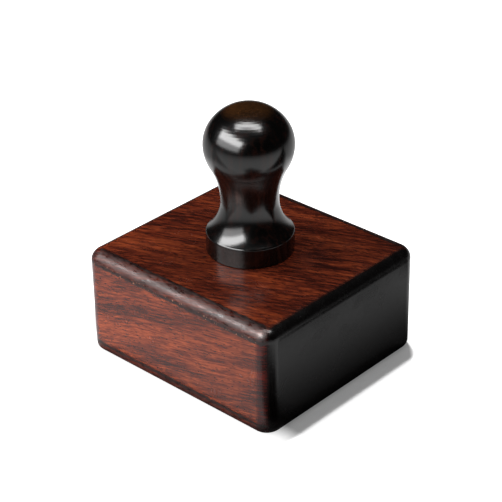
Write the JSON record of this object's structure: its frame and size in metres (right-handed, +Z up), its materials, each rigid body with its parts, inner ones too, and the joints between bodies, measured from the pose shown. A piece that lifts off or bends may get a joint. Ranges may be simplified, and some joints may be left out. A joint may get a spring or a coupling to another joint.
{
  "type": "hand tamper",
  "caption": "Knob-handled wooden hand press: a rounded rectangular rosewood block under a turned waisted knob, held by a hidden screw.",
  "frame": {"origin": "middle of the block's underside, below the knob's axis", "axes": "+Z up the knob's axis; +X along the block's short sides; +Y along its long sides"},
  "size_m": [0.08, 0.088, 0.0972],
  "materials": {
    "block_rosewood": "gloss lacquer over reddish brown rosewood with fine open pores",
    "knob_blackwood": "gloss lacquer over turned near-black blackwood",
    "plug_rosewood": "gloss lacquer over reddish brown rosewood",
    "insert_brass": "machined",
    "screw_stainless": "machined stainless",
    "washer_steel": "zinc plated",
    "dowel_beech": "plain sanded"
  },
  "bodies": {
    "root": {"base_block": "block_rosewood", "knob_handle": "knob_blackwood", "threaded_insert": "insert_brass", "clamp_screw": "screw_stainless", "spring_washer": "washer_steel", "flat_washer": "washer_steel", "sole_plug": "plug_rosewood", "locating_dowel_1": "dowel_beech", "locating_dowel_2": "dowel_beech"}
  },
  "joints": []
}
